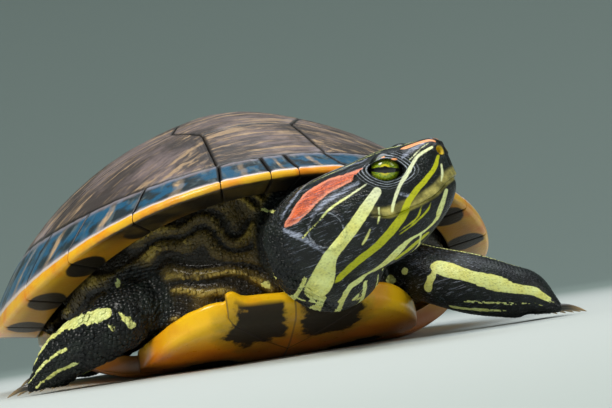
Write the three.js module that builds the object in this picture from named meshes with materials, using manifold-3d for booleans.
// A life-size adult red-eared slider, lying on its plastron with the head turned to its left.
// Millimetres, +Z up. The animal looks along -Y and its left side is +X. "Forward" below is -Y.
import * as THREE from "three";
import { mergeVertices } from "three/addons/utils/BufferGeometryUtils.js";
import Module from "manifold-3d";

const wasm = await Module();
wasm.setup();

// ---- driving dimensions ----
const HALF_LENGTH = 97; // carapace, middle to nuchal rim
const HALF_WIDTH = 80; // carapace at its widest
const DOME_HEIGHT = 77.5; // flank surface at the middle, above the floor
const KEEL = { rise: 1.8, width: 18 }; // low ridge along the back
const RIM = { front: 49.8, side: 21, rear: 22 }; // height of the upper rim edge
const TAPER = 0.08; // the front of the shell is narrower by this share
const SQUARENESS = 2.21; // exponent of the shell's outline
const REAR_SWELL = 10; // lifts the back of the dome and lowers its front
const BONE = 4; // upright thickness of the domed plates
const RIM_LIP = 2.5; // thickness of the rim edge
const RIM_DROOP = 2; // how much lower the inner edge of the rim's underside lies
const RING = 0.84; // share of the outline where marginals meet costals
const SEAM = 0.3; // gap between neighbouring plates
const FIT = 0.3; // gap between a cut piece and the one it meets
const TRUNK_SHARE = 0.822; // share of the outline that the trunk fills
const TRUNK_CLEARANCE = 1.6; // upright gap between the trunk and the bone round it
const CENTRE_FORWARD = 18.3; // from the shell's middle to the middle of the whole animal

const PLASTRON = {
  front: 85.5,
  frontCorner: 19, // half width of the gular lip
  hollow: 1.2, // how far the middle of the lip lies behind its corners
  lobeStep: 1.5, // step from the lip back to the lobe's rounded side
  lobeBack: 50, // where the lobe's side meets its widest place
  lobe: 41, // half width of the front lobe
  hindLobe: 40,
  rear: -86,
  notch: -81,
  axilla: 47, // forward place of the notch behind each arm
  groin: -33,
  thickness: 5.5,
  lipThickness: 8,
  lipStart: 52, // the front lobe bends up from here
  lipRise: 12.5,
  curl: 3, // how far the side edges of the front lobe turn up
  curlStart: 12, // half width of the lobe's level middle
  bridgeStart: 40,
  bridgeEdge: 67,
  bridgeRise: 14,
  tailBend: { start: -72, length: 14, rise: 2 }, // the rear end lifts a little off the floor
  hindRoot: 36, // half width at the groin
  hindTaper: 0.62, // share that the hind lobe loses towards the tail
  hindShoulder: 44, // half width where the bridge runs into the hind lobe
  notchWidth: 7,
};

const COLOURS = {
  scute: 0x5b5048,
  rim: 0x4b4a44,
  plastron: 0xe0a023,
  skin: 0x232d1f,
  pocket: 0x4a4027,
  eye: 0x9aa81e,
};

// ---- plan and height of the shell ----
const degrees = (angle) => (angle * Math.PI) / 180;
const lerp = (a, b, t) => a + (b - a) * t;
const clamp = (value, low, high) => Math.min(Math.max(value, low), high);

// Half width of the carapace outline's ellipse at a forward place.
function widthAt(forward) {
  return HALF_WIDTH * (1 - (TAPER * forward) / HALF_LENGTH);
}

// 0 at the middle of the shell and 1 on its outline: a superellipse.
function shareAt(x, forward) {
  const across = Math.abs(x / widthAt(forward)) ** SQUARENESS;
  const along = Math.abs(forward / HALF_LENGTH) ** SQUARENESS;
  return (across + along) ** (1 / SQUARENESS);
}

// The plan point at an angle from straight ahead (0) to straight back (180) and a share of the outline.
function planPoint(angle, share, side) {
  const c = Math.cos(degrees(angle));
  const s = Math.sin(degrees(angle));
  const reach = share * (Math.abs(c) ** SQUARENESS + Math.abs(s) ** SQUARENESS) ** (-1 / SQUARENESS);
  const forward = HALF_LENGTH * c * reach;
  return [side * widthAt(forward) * s * reach, forward];
}

// 1 straight ahead and straight back, 0 at the sides.
function endness(x, forward) {
  const share = shareAt(x, forward);
  return share > 0 ? Math.min(Math.abs(forward / HALF_LENGTH) / share, 1) : 0;
}

function rimHeight(x, forward) {
  const end = forward > 0 ? RIM.front : RIM.rear;
  return RIM.side + (end - RIM.side) * endness(x, forward) ** 1.6;
}

function carapaceTop(x, forward) {
  const share = Math.min(shareAt(x, forward), 1);
  const rim = rimHeight(x, forward);
  const rise = (1 - share ** 2.06) ** (0.76 + 0.34 * endness(x, forward) ** 2);
  const open = 1 - share ** 2;
  const keel = KEEL.rise * Math.exp(-((x / KEEL.width) ** 2)) * open;
  const swell = ((REAR_SWELL * forward) / HALF_LENGTH) * share * open;
  return rim + (DOME_HEIGHT - rim) * rise + keel - swell;
}

function carapaceUnder(x, forward) {
  return carapaceTop(x, forward) - BONE;
}

function marginalUnder(x, forward) {
  const inward = clamp((1 - shareAt(x, forward)) / (1 - RING), 0, 1);
  return rimHeight(x, forward) - RIM_LIP - RIM_DROOP * inward;
}

function plastronBottom(x, forward) {
  const ahead = Math.max(forward - PLASTRON.lipStart, 0) / (PLASTRON.front - PLASTRON.lipStart);
  const behind = Math.max(PLASTRON.tailBend.start - forward, 0) / PLASTRON.tailBend.length;
  const outward = Math.max(Math.abs(x) - PLASTRON.bridgeStart, 0);
  const bridge = outward / (PLASTRON.bridgeEdge - PLASTRON.bridgeStart);
  const onLobe = clamp((forward - PLASTRON.axilla + 8) / 14, 0, 1);
  const aside = clamp((Math.abs(x) - PLASTRON.curlStart) / (PLASTRON.lobe - PLASTRON.curlStart), 0, 1);
  const curl = PLASTRON.curl * onLobe * aside ** 2;
  const ends = PLASTRON.lipRise * ahead ** 1.5 + PLASTRON.tailBend.rise * behind ** 1.5;
  return ends + curl * (1 - ahead) + PLASTRON.bridgeRise * bridge ** 1.6;
}

function plastronTop(x, forward) {
  const ahead = clamp((forward - PLASTRON.lipStart) / (PLASTRON.front - PLASTRON.lipStart), 0, 1);
  return plastronBottom(x, forward) + lerp(PLASTRON.thickness, PLASTRON.lipThickness, ahead);
}

// ---- turning points into meshes ----
// Welds equal points, drops empty triangles and turns the faces outward.
function closedMesh(points, triangles, name, colour) {
  const geometry = new THREE.BufferGeometry();
  geometry.setAttribute("position", new THREE.Float32BufferAttribute(points.flat(), 3));
  geometry.setIndex(triangles.flat());
  const welded = mergeVertices(geometry, 1e-3);
  const index = welded.index.array;
  const kept = [];
  for (let i = 0; i < index.length; i += 3) {
    const [a, b, c] = [index[i], index[i + 1], index[i + 2]];
    if (a !== b && b !== c && c !== a) kept.push(a, b, c);
  }
  const place = welded.attributes.position;
  const corners = [new THREE.Vector3(), new THREE.Vector3(), new THREE.Vector3()];
  let volume = 0;
  for (let i = 0; i < kept.length; i += 3) {
    corners.forEach((corner, k) => corner.fromBufferAttribute(place, kept[i + k]));
    volume += corners[0].dot(corners[1].clone().cross(corners[2]));
  }
  if (volume < 0) kept.reverse();
  welded.setIndex(kept);
  return finish(welded, name, colour);
}

function finish(geometry, name, colour) {
  const material = new THREE.MeshStandardMaterial({ color: colour, roughness: 0.45, metalness: 0 });
  const mesh = new THREE.Mesh(geometry, material);
  mesh.name = name;
  return mesh;
}

function toSolid(mesh) {
  const bare = mesh.geometry.clone();
  bare.deleteAttribute("normal");
  bare.deleteAttribute("uv");
  const merged = mergeVertices(bare, 1e-4);
  const vertProperties = new Float32Array(merged.attributes.position.array);
  const triVerts = new Uint32Array(merged.index.array);
  return new wasm.Manifold(new wasm.Mesh({ numProp: 3, vertProperties, triVerts }));
}

function fromSolid(solid, name, colour) {
  const result = solid.getMesh();
  const geometry = new THREE.BufferGeometry();
  geometry.setAttribute("position", new THREE.BufferAttribute(result.vertProperties, 3));
  geometry.setIndex(new THREE.BufferAttribute(result.triVerts, 1));
  return finish(geometry, name, colour);
}

// Cuts the cutters away and keeps the largest body that is left.
function cut(mesh, cutters) {
  const left = cutters.reduce((solid, cutter) => solid.subtract(toSolid(cutter)), toSolid(mesh));
  const largest = left.decompose().reduce((a, b) => (a.volume() > b.volume() ? a : b));
  return fromSolid(largest, mesh.name, mesh.material.color);
}

function join(mesh, others) {
  const whole = others.reduce((solid, other) => solid.add(toSolid(other)), toSolid(mesh));
  return fromSolid(whole, mesh.name, mesh.material.color);
}

// ---- plates: a patch in plan between an upper and a lower height ----
// plan(u, v) gives [x, forward]; the patch's edge is drawn in by half the seam.
function plate(name, plan, across, along, top, under, colour) {
  const stride = across + 1;
  const flat = [];
  for (let j = 0; j <= along; j += 1) {
    for (let i = 0; i <= across; i += 1) flat.push(plan(i / across, j / along));
  }
  const edge = [];
  for (let i = 0; i < across; i += 1) edge.push(i);
  for (let j = 0; j < along; j += 1) edge.push(j * stride + across);
  for (let i = across; i > 0; i -= 1) edge.push(along * stride + i);
  for (let j = along; j > 0; j -= 1) edge.push(j * stride);
  const drawn = drawIn(edge.map((k) => flat[k]), SEAM / 2);
  edge.forEach((k, n) => {
    flat[k] = drawn[n];
  });
  const upper = flat.map(([x, forward]) => [x, -forward, top(x, forward)]);
  const lower = flat.map(([x, forward]) => [x, -forward, under(x, forward)]);
  const triangles = [];
  const count = flat.length;
  for (let j = 0; j < along; j += 1) {
    for (let i = 0; i < across; i += 1) {
      const a = j * stride + i;
      const [b, c, d] = [a + 1, a + stride + 1, a + stride];
      triangles.push([a, b, c], [a, c, d]);
      triangles.push([count + a, count + c, count + b], [count + a, count + d, count + c]);
    }
  }
  edge.forEach((k, n) => {
    const next = edge[(n + 1) % edge.length];
    triangles.push([k, count + k, count + next], [k, count + next, next]);
  });
  return closedMesh([...upper, ...lower], triangles, name, colour);
}

// Moves a closed outline inward by a distance, along the bisector at each corner.
function drawIn(outline, distance) {
  const size = outline.length;
  const apart = (p, q) => Math.hypot(p[0] - q[0], p[1] - q[1]) > 1e-6;
  const area = outline.reduce((sum, p, n) => {
    const q = outline[(n + 1) % size];
    return sum + p[0] * q[1] - q[0] * p[1];
  }, 0);
  const turn = Math.sign(area);
  return outline.map((point, n) => {
    let before = n - 1;
    let after = n + 1;
    while (!apart(point, outline.at(before))) before -= 1;
    while (!apart(point, outline[after % size])) after += 1;
    const normals = [
      [outline.at(before), point],
      [point, outline[after % size]],
    ].map(([p, q]) => {
      const length = Math.hypot(q[0] - p[0], q[1] - p[1]);
      return [(-turn * (q[1] - p[1])) / length, (turn * (q[0] - p[0])) / length];
    });
    const sum = [normals[0][0] + normals[1][0], normals[0][1] + normals[1][1]];
    const length = Math.hypot(...sum);
    const stretch = Math.min(2 / length, 3);
    return [
      point[0] + (sum[0] / length) * distance * stretch,
      point[1] + (sum[1] / length) * distance * stretch,
    ];
  });
}

// A point a share of the way along a list of points, each span taking an equal part.
function walk(points, t) {
  const spans = points.length - 1;
  const span = Math.min(Math.floor(t * spans), spans - 1);
  const part = t * spans - span;
  return points[span].map((value, k) => lerp(value, points[span + 1][k], part));
}

// ---- carapace ----
const MARGINAL_SEAMS = [3, 13.5, 32, 48, 63, 78, 93, 108, 122, 136, 150, 165, 180];
const COSTAL_SEAMS = [70, 100, 129]; // where the costal seams reach the ring
const FRONT_CORNER = 14;
const REAR_CORNER = 158;
const FIRST_NOTCHED = 8; // marginals from here back have a toothed edge
const TOOTH = 0.018;
// Corners down the side of the vertebral row, as [half width, forward].
const SPINE = [
  planPoint(FRONT_CORNER, RING, 1),
  [13.5, 50],
  [20, 33],
  [15, 15],
  [20.5, -3],
  [14.5, -21],
  [18.5, -40],
  [12, -58],
  planPoint(REAR_CORNER, RING, 1),
];
const mirrored = (points, side) => points.map(([x, forward]) => [side * x, forward]);

function marginal(side, sideName, number) {
  const [from, to] = MARGINAL_SEAMS.slice(number - 1, number + 1);
  const tooth = number >= FIRST_NOTCHED ? TOOTH : 0;
  const plan = (u, v) => {
    const edge = 1 + tooth * Math.sin(Math.PI * v);
    return planPoint(lerp(from, to, v), lerp(RING, edge, u), side);
  };
  const name = `marginal_${sideName}_${number}`;
  return plate(name, plan, 2, 4, carapaceTop, marginalUnder, COLOURS.rim);
}

function nuchal() {
  const plan = (u, v) => planPoint(MARGINAL_SEAMS[0] * (2 * v - 1), lerp(RING, 1, u), 1);
  return plate("nuchal", plan, 2, 2, carapaceTop, marginalUnder, COLOURS.rim);
}

function costal(side, sideName, number) {
  const ring = [FRONT_CORNER, ...COSTAL_SEAMS, REAR_CORNER];
  const inner = [SPINE.slice(0, 3), SPINE.slice(2, 5), SPINE.slice(4, 7), SPINE.slice(6, 8)][number - 1];
  const medial = mirrored(inner, side);
  const plan = (u, v) => {
    const outer = planPoint(lerp(ring[number - 1], ring[number], v), RING, side);
    const near = walk(medial, v);
    return near.map((value, k) => lerp(value, outer[k], u));
  };
  const name = `costal_${sideName}_${number}`;
  return plate(name, plan, 4, 6, carapaceTop, carapaceUnder, COLOURS.scute);
}

// The forward place of the ring between marginals and vertebrals, above or below x.
function ringForward(x, end) {
  let forward = end * HALF_LENGTH * RING;
  for (let step = 0; step < 6; step += 1) {
    const across = Math.abs(x / widthAt(forward) / RING) ** SQUARENESS;
    forward = end * HALF_LENGTH * RING * (1 - across) ** (1 / SQUARENESS);
  }
  return forward;
}

function vertebral(number) {
  const outline = SPINE.slice(...[[0, 2], [1, 4], [3, 6], [5, 8], [7, 9]][number - 1]);
  const [first, last] = [outline[0][1], outline.at(-1)[1]];
  const plan = (u, v) => {
    const [halfWidth, forward] = walk(outline, v);
    const x = halfWidth * (2 * u - 1);
    if (number === 1) return [x, forward + (ringForward(x, 1) - first) * (1 - v)];
    if (number === 5) return [x, forward + (ringForward(x, -1) - last) * v];
    return [x, forward];
  };
  return plate(`vertebral_${number}`, plan, 4, 4, carapaceTop, carapaceUnder, COLOURS.scute);
}

// ---- plastron ----
const GULAR_POINT = 63; // where the gular seam meets the midline
const PLASTRON_SEAMS = [46, 18, -22, -58];
const BRIDGE_SHARE = RING - 0.006; // the bridge ends just inside the marginals

function bridgeX(forward) {
  const along = Math.abs(forward / (HALF_LENGTH * RING)) ** SQUARENESS;
  return widthAt(forward) * BRIDGE_SHARE * (1 - along) ** (1 / SQUARENESS);
}

// Forward place of the plastron's front outline at x: a lip, then a rounded lobe.
function lobeFront(x) {
  const away = Math.abs(x);
  const hollow = PLASTRON.hollow * (1 - (away / PLASTRON.frontCorner) ** 2);
  if (away <= PLASTRON.frontCorner) return PLASTRON.front - hollow;
  const outward = Math.min((away - PLASTRON.frontCorner) / (PLASTRON.lobe - PLASTRON.frontCorner), 1);
  return lerp(PLASTRON.lobeBack, PLASTRON.front - PLASTRON.lobeStep, Math.sqrt(1 - outward ** 2));
}

function gularSeam(x) {
  return lerp(GULAR_POINT, PLASTRON.front - 1, clamp(Math.abs(x) / PLASTRON.frontCorner, 0, 1));
}

function hindHalfWidth(forward) {
  const back = clamp((PLASTRON.groin - forward) / (PLASTRON.groin - PLASTRON.rear), 0, 1);
  const bulge = Math.sin(Math.PI * Math.min(back * 1.4, 1));
  return lerp(PLASTRON.hindRoot, PLASTRON.hindLobe, bulge) * (1 - PLASTRON.hindTaper * back ** 3);
}

const PLASTRON_PLANS = {
  gular: (u, v) => {
    const x = PLASTRON.frontCorner * (2 * u - 1);
    return [x, lerp(lobeFront(x), gularSeam(x), v)];
  },
  humeral: (u, v) => {
    const x = PLASTRON.lobe * (2 * u - 1);
    const front = Math.abs(x) < PLASTRON.frontCorner ? gularSeam(x) : lobeFront(x) - 0.8;
    return [x, lerp(front, PLASTRON_SEAMS[0], v)];
  },
  pectoral: (u, v) => {
    const out = clamp((Math.abs(2 * u - 1) - 0.6) / 0.4, 0, 1);
    const forward = lerp(PLASTRON_SEAMS[0] - 10 * out ** 2, PLASTRON_SEAMS[1], v);
    return [bridgeX(forward) * (2 * u - 1), forward];
  },
  abdominal: (u, v) => {
    const forward = lerp(PLASTRON_SEAMS[1], PLASTRON_SEAMS[2], v);
    return [bridgeX(forward) * (2 * u - 1), forward];
  },
  femoral: (u, v) => {
    const forward = lerp(PLASTRON_SEAMS[2], PLASTRON_SEAMS[3], v);
    const bridge = clamp((forward - PLASTRON.groin) / (PLASTRON_SEAMS[2] - PLASTRON.groin), 0, 1);
    const halfWidth = lerp(hindHalfWidth(forward), PLASTRON.hindShoulder, bridge ** 2);
    return [halfWidth * (2 * u - 1), forward];
  },
  anal: (u, v) => {
    const forward = lerp(PLASTRON_SEAMS[3], PLASTRON.rear, v);
    const x = hindHalfWidth(forward) * (2 * u - 1);
    const notch = (PLASTRON.notch - PLASTRON.rear) * Math.exp(-((x / PLASTRON.notchWidth) ** 2)) * v;
    return [x, forward + notch];
  },
};

function plastronPlates() {
  return Object.entries(PLASTRON_PLANS).map(([name, plan]) =>
    plate(`plastron_${name}`, plan, 8, 3, plastronTop, plastronBottom, COLOURS.plastron),
  );
}

// ---- flesh: tubes of oval rings along a smooth path ----
// Each ring is [x, forward, height, half width, half thickness].
function tube(name, rings, sides, steps, grow, colour) {
  const places = rings.map(([x, forward, z]) => new THREE.Vector3(x, -forward, z));
  const path = new THREE.CatmullRomCurve3(places);
  const sizes = new THREE.CatmullRomCurve3(rings.map(([, , , w, h]) => new THREE.Vector3(w, h, 0)));
  const upward = new THREE.Vector3(0, 0, 1);
  const points = [];
  for (let j = 0; j <= steps; j += 1) {
    const t = j / steps;
    const tangent = path.getTangent(t);
    const centre = path.getPoint(t).addScaledVector(tangent, grow * (2 * t - 1));
    const size = sizes.getPoint(t);
    const sideways = new THREE.Vector3().crossVectors(upward, tangent).normalize();
    const normal = new THREE.Vector3().crossVectors(tangent, sideways);
    for (let i = 0; i < sides; i += 1) {
      const turn = (2 * Math.PI * i) / sides;
      const point = centre
        .clone()
        .addScaledVector(sideways, (size.x + grow) * Math.cos(turn))
        .addScaledVector(normal, (size.y + grow) * Math.sin(turn));
      points.push(point.toArray());
    }
  }
  return closedTube(name, points, sides, steps, colour);
}

// Joins rings of points into a tube with a flat fan on each end.
function closedTube(name, points, sides, steps, colour) {
  const middle = (ring) => {
    const part = points.slice(ring * sides, (ring + 1) * sides);
    return [0, 1, 2].map((k) => part.reduce((sum, p) => sum + p[k], 0) / sides);
  };
  const ends = [middle(0), middle(steps)];
  const first = points.length;
  const triangles = [];
  for (let i = 0; i < sides; i += 1) {
    const next = (i + 1) % sides;
    for (let j = 0; j < steps; j += 1) {
      const [a, b] = [j * sides + i, j * sides + next];
      triangles.push([a, b, b + sides], [a, b + sides, a + sides]);
    }
    triangles.push([first, next, i], [first + 1, steps * sides + i, steps * sides + next]);
  }
  return closedMesh([...points, ...ends], triangles, name, colour);
}

// ---- head ----
// The head's own axes: along the snout, to its left, and up; the origin is at the back of the skull.
const HEAD_ORIGIN = new THREE.Vector3(1.5, -107.4, 35.7);
const HEAD_FORWARD = new THREE.Vector3(0.763, -0.625, 0.163).normalize();
const HEAD_LEFT = new THREE.Vector3(0.591, 0.778, 0.216).projectOnPlane(HEAD_FORWARD).normalize();
const HEAD_UP = new THREE.Vector3().crossVectors(HEAD_FORWARD, HEAD_LEFT);
// Stations from neck to snout: [along, half width, top, bottom].
const HEAD_STATIONS = [
  [-7, 12, 3.5, -17],
  [-2, 13.2, 6.2, -18.6],
  [4, 13.7, 8.3, -19.4],
  [10, 13.6, 8.9, -19.6],
  [16, 13, 9, -19.2],
  [22, 12, 9.3, -18.4],
  [27, 11, 9.3, -16.9],
  [31, 9.6, 8.6, -15],
  [35, 7.8, 8.2, -12.7],
  [38, 6, 8, -10.4],
  [40.4, 4.2, 7.4, -8],
  [41.8, 2.2, 5.6, -5],
];
const HEAD_SECTION = { power: 0.85, middle: 0.56, narrowing: 0.2 }; // the throat is narrower than the crown
const MOUTH = { corner: 21.5, height: -5.2, dip: -1.2, tip: -3.9 };
const EYE = { along: 27.9, out: 6.3, up: 4.4, radius: 4.6 };

function onHead(place, left, up) {
  return HEAD_ORIGIN.clone()
    .addScaledVector(HEAD_FORWARD, place)
    .addScaledVector(HEAD_LEFT, left)
    .addScaledVector(HEAD_UP, up);
}

function headShape(name, grow, colour) {
  const sides = 18;
  const steps = 11;
  const points = [];
  for (let j = 0; j <= steps; j += 1) {
    const [place, halfWidth, top, bottom] = walk(HEAD_STATIONS, j / steps);
    const middle = lerp(bottom, top, HEAD_SECTION.middle);
    for (let i = 0; i < sides; i += 1) {
      const turn = (2 * Math.PI * i) / sides;
      const c = Math.cos(turn);
      const s = Math.sin(turn);
      const left = (halfWidth + grow) * Math.sign(c) * Math.abs(c) ** HEAD_SECTION.power;
      const height = s > 0 ? top + grow - middle : middle - bottom + grow;
      const narrowing = s < 0 ? 1 - HEAD_SECTION.narrowing * s * s : 1;
      const up = middle + height * Math.sign(s) * Math.abs(s) ** HEAD_SECTION.power;
      const shift = grow * ((2 * j) / steps - 1);
      points.push(onHead(place + shift, left * narrowing, up).toArray());
    }
  }
  return closedTube(name, points, sides, steps, colour);
}

// A block under the mouth line, from the corner of the mouth to past the snout.
function belowMouth(grow) {
  const steps = 4;
  const points = [];
  for (let j = 0; j <= steps; j += 1) {
    const t = j / steps;
    const place = lerp(MOUTH.corner - grow, 46, t);
    const lip = lerp(MOUTH.height, MOUTH.tip, t) + MOUTH.dip * Math.sin(Math.PI * t) + grow;
    for (const [left, up] of [[20, lip], [-20, lip], [-20, -30], [20, -30]]) {
      points.push(onHead(place, left, up).toArray());
    }
  }
  return closedTube("below_mouth", points, 4, steps, COLOURS.skin);
}

function ball(name, centre, radius, colour) {
  const geometry = new THREE.SphereGeometry(radius, 10, 7);
  geometry.deleteAttribute("normal");
  geometry.deleteAttribute("uv");
  const points = [];
  for (let i = 0; i < geometry.attributes.position.count; i += 1) {
    const point = new THREE.Vector3().fromBufferAttribute(geometry.attributes.position, i);
    points.push(point.add(centre).toArray());
  }
  const index = geometry.index.array;
  const triangles = [];
  for (let i = 0; i < index.length; i += 3) triangles.push([index[i], index[i + 1], index[i + 2]]);
  return closedMesh(points, triangles, name, colour);
}

function eyeCentre(side) {
  return onHead(EYE.along, side * EYE.out, EYE.up);
}

// ---- neck, limbs and tail ----
const NECK = [
  [10, 64, 30.3, 15, 13.3],
  [9.5, 77, 32, 16.2, 12.8],
  [9, 88, 30.2, 17.3, 15.3],
  [8.3, 98, 28.2, 16.8, 17.6],
  [8, 106, 28.8, 15.6, 17.2],
  [8, 111.5, 30.8, 14.8, 14.8],
];

const TAIL = [
  [0, -66, 13, 7, 5.5],
  [1, -80, 12.4, 5, 4.3],
  [4, -89, 9, 4.2, 4],
  [12, -95, 5, 3.2, 3],
  [22, -97, 2.6, 2, 2.2],
  [29, -95, 1.6, 1, 1.2],
];

// Shoulder to wrist and wrist to fingertips; thigh to ankle and ankle to toes.
const LIMBS = [
  {
    names: ["arm_left", "hand_left"],
    upper: [[32, 55, 25, 9, 9], [41, 70, 18, 9, 8.5], [51, 80, 12.8, 8.6, 9], [60, 84, 9.2, 7.7, 8]],
    lower: [[60, 84, 9.2, 7.4, 7.7], [66.2, 84.4, 7.4, 8.2, 7.1], [72, 84, 3.8, 8.6, 4]],
    claws: { count: 5, length: 7, spread: 50 },
  },
  {
    names: ["arm_right", "hand_right"],
    upper: [[-26, 52, 27, 9, 9], [-38, 60.5, 20.5, 9, 8.5], [-49, 62, 15.6, 8.6, 8.9], [-57, 57.7, 12, 7.7, 7.9]],
    lower: [[-57, 57.7, 12, 7.4, 7.6], [-63, 53, 8.5, 8.2, 7], [-68, 48.4, 3.8, 8.6, 4.1]],
    claws: { count: 5, length: 7, spread: 50 },
  },
  {
    names: ["leg_left", "foot_left"],
    upper: [[27, -44, 21, 10, 9], [38, -52, 14, 10, 9], [48, -60, 8.4, 9, 7.8], [53, -69, 7.2, 7.5, 7]],
    lower: [[53, -69, 7.2, 7.2, 6.6], [57, -77, 5.2, 10, 4.8], [60.5, -85, 2.8, 11, 3]],
    claws: { count: 4, length: 7, spread: 44 },
  },
  {
    names: ["leg_right", "foot_right"],
    upper: [[-27, -44, 21, 10, 9], [-38, -52, 14, 10, 9], [-48, -60, 8.4, 9, 7.8], [-53, -69, 7.2, 7.5, 7]],
    lower: [[-53, -69, 7.2, 7.2, 6.6], [-57, -77, 5.2, 10, 4.8], [-60.5, -85, 2.8, 11, 3]],
    claws: { count: 4, length: 7, spread: 44 },
  },
];

// A curved claw from a finger's end, in a direction turned from the foot's own.
function claw(root, direction, length) {
  const reach = (t) => [root.x + direction.x * length * t, -(root.y + direction.y * length * t)];
  const rings = [
    [...reach(-0.5), 2.6, 1.5, 1.5],
    [...reach(0.35), 2.5, 1.1, 1.2],
    [...reach(1), 0.7, 0.3, 0.4],
  ];
  return tube("claw", rings, 5, 3, 0, COLOURS.skin);
}

function foot({ names, lower, claws }) {
  const sole = tube(names[1], lower, 10, 4, 0, COLOURS.skin);
  const [before, tip] = lower.slice(-2).map(([x, forward]) => new THREE.Vector3(x, -forward, 0));
  const ahead = tip.clone().sub(before).normalize();
  const upward = new THREE.Vector3(0, 0, 1);
  const sideways = new THREE.Vector3().crossVectors(upward, ahead);
  const halfWidth = lower.at(-1)[3];
  const nails = Array.from({ length: claws.count }, (_, k) => {
    const place = k / (claws.count - 1) - 0.5;
    const root = tip.clone().addScaledVector(sideways, 1.6 * halfWidth * place);
    const direction = ahead.clone().applyAxisAngle(upward, degrees(claws.spread * place));
    return claw(root, direction, claws.length);
  });
  return join(sole, nails);
}

function floorBlock() {
  const block = new THREE.BoxGeometry(400, 400, 40);
  block.translate(0, 0, -20);
  return finish(block, "floor", COLOURS.skin);
}

// ---- trunk: what fills the shell ----
function trunk() {
  const sides = 24;
  const rings = [0.42, 0.68, TRUNK_SHARE];
  const top = (x, forward) => carapaceTop(x, forward) - BONE - TRUNK_CLEARANCE;
  const under = (x, forward) => plastronTop(x, forward) + TRUNK_CLEARANCE;
  const points = [];
  for (const height of [top, under]) {
    points.push([0, 0, height(0, 0)]);
    for (const share of rings) {
      for (let i = 0; i < sides; i += 1) {
        const turn = (360 * i) / sides;
        const [x, forward] = planPoint(turn > 180 ? 360 - turn : turn, share, turn > 180 ? -1 : 1);
        points.push([x, -forward, height(x, forward)]);
      }
    }
  }
  const layer = 1 + rings.length * sides;
  const triangles = [];
  for (let i = 0; i < sides; i += 1) {
    const next = (i + 1) % sides;
    for (const [base, flip] of [[0, false], [layer, true]]) {
      const add = (a, b, c) => triangles.push(flip ? [a, c, b] : [a, b, c]);
      add(base, base + 1 + i, base + 1 + next);
      for (let j = 0; j + 1 < rings.length; j += 1) {
        const a = base + 1 + j * sides;
        add(a + i, a + sides + i, a + sides + next);
        add(a + i, a + sides + next, a + next);
      }
    }
    const rim = 1 + (rings.length - 1) * sides;
    const [a, b, c, d] = [rim + i, layer + rim + i, layer + rim + next, rim + next];
    triangles.push([a, b, c], [a, c, d]);
  }
  return closedMesh(points, triangles, "trunk", COLOURS.pocket);
}

// ---- the whole animal ----
const SIDES = [[1, "left"], [-1, "right"]];
const carapace = [nuchal()];
for (const [side, sideName] of SIDES) {
  for (let number = 1; number <= 12; number += 1) carapace.push(marginal(side, sideName, number));
  for (let number = 1; number <= 4; number += 1) carapace.push(costal(side, sideName, number));
}
for (let number = 1; number <= 5; number += 1) carapace.push(vertebral(number));
const plastron = plastronPlates();
const gular = plastron[0];

const eyeBall = (side, name, grow) => ball(name, eyeCentre(side), EYE.radius + grow, COLOURS.eye);
const eyes = SIDES.map(([side, sideName]) => eyeBall(side, `eye_${sideName}`, 0));
const sockets = SIDES.map(([side]) => eyeBall(side, "socket", FIT));
const skull = headShape("head", 0, COLOURS.skin);
const head = cut(skull, [belowMouth(FIT), ...sockets]);
const jawSolid = toSolid(headShape("lower_jaw", 0, COLOURS.skin)).intersect(toSolid(belowMouth(0)));
const lowerJaw = fromSolid(jawSolid, "lower_jaw", COLOURS.skin);

// Room for the plastron's two lobes, a fit's gap larger than the plates.
function lobeClearance(plan) {
  const top = (x, forward) => plastronTop(x, forward) + 5 * FIT;
  const under = (x, forward) => plastronBottom(x, forward) - 1;
  return plate("clearance", plan, 10, 6, top, under, COLOURS.plastron);
}

const frontLobe = lobeClearance((u, v) => {
  const x = (PLASTRON.lobe + 2 * FIT) * (2 * u - 1);
  return [x, lerp(lobeFront(x) + 3 * FIT, PLASTRON_SEAMS[0] - 4, v)];
});
const hindLobe = lobeClearance((u, v) => {
  const forward = lerp(PLASTRON.groin, PLASTRON.rear - 1, v);
  return [(hindHalfWidth(forward) + 3 * FIT) * (2 * u - 1), forward];
});
const headClearance = headShape("head", FIT, COLOURS.skin);
const neck = cut(tube("neck", NECK, 14, 7, 0, COLOURS.skin), [headClearance, frontLobe]);
const tail = cut(tube("tail", TAIL, 8, 8, 0, COLOURS.skin), [floorBlock()]);

const neckClearance = tube("neck", NECK, 14, 7, FIT, COLOURS.skin);
const uppers = LIMBS.map(({ names, upper, lower }) => {
  const lowerClearance = tube("foot", lower, 10, 4, FIT, COLOURS.skin);
  const cutters = [lowerClearance, neckClearance, frontLobe, hindLobe, floorBlock()];
  return cut(tube(names[0], upper, 12, 6, 0, COLOURS.skin), cutters);
});
const lowers = LIMBS.map((limb) => cut(foot(limb), [floorBlock()]));

const body = cut(trunk(), [
  neckClearance,
  frontLobe,
  tube("tail", TAIL, 8, 8, FIT, COLOURS.skin),
  ...LIMBS.map(({ upper }) => tube("limb", upper, 12, 6, FIT, COLOURS.skin)),
]);

const group = new THREE.Group();
group.add(...carapace, ...plastron, body, neck, head, lowerJaw, ...eyes, tail, ...uppers, ...lowers);
group.position.y = CENTRE_FORWARD;

export default group;
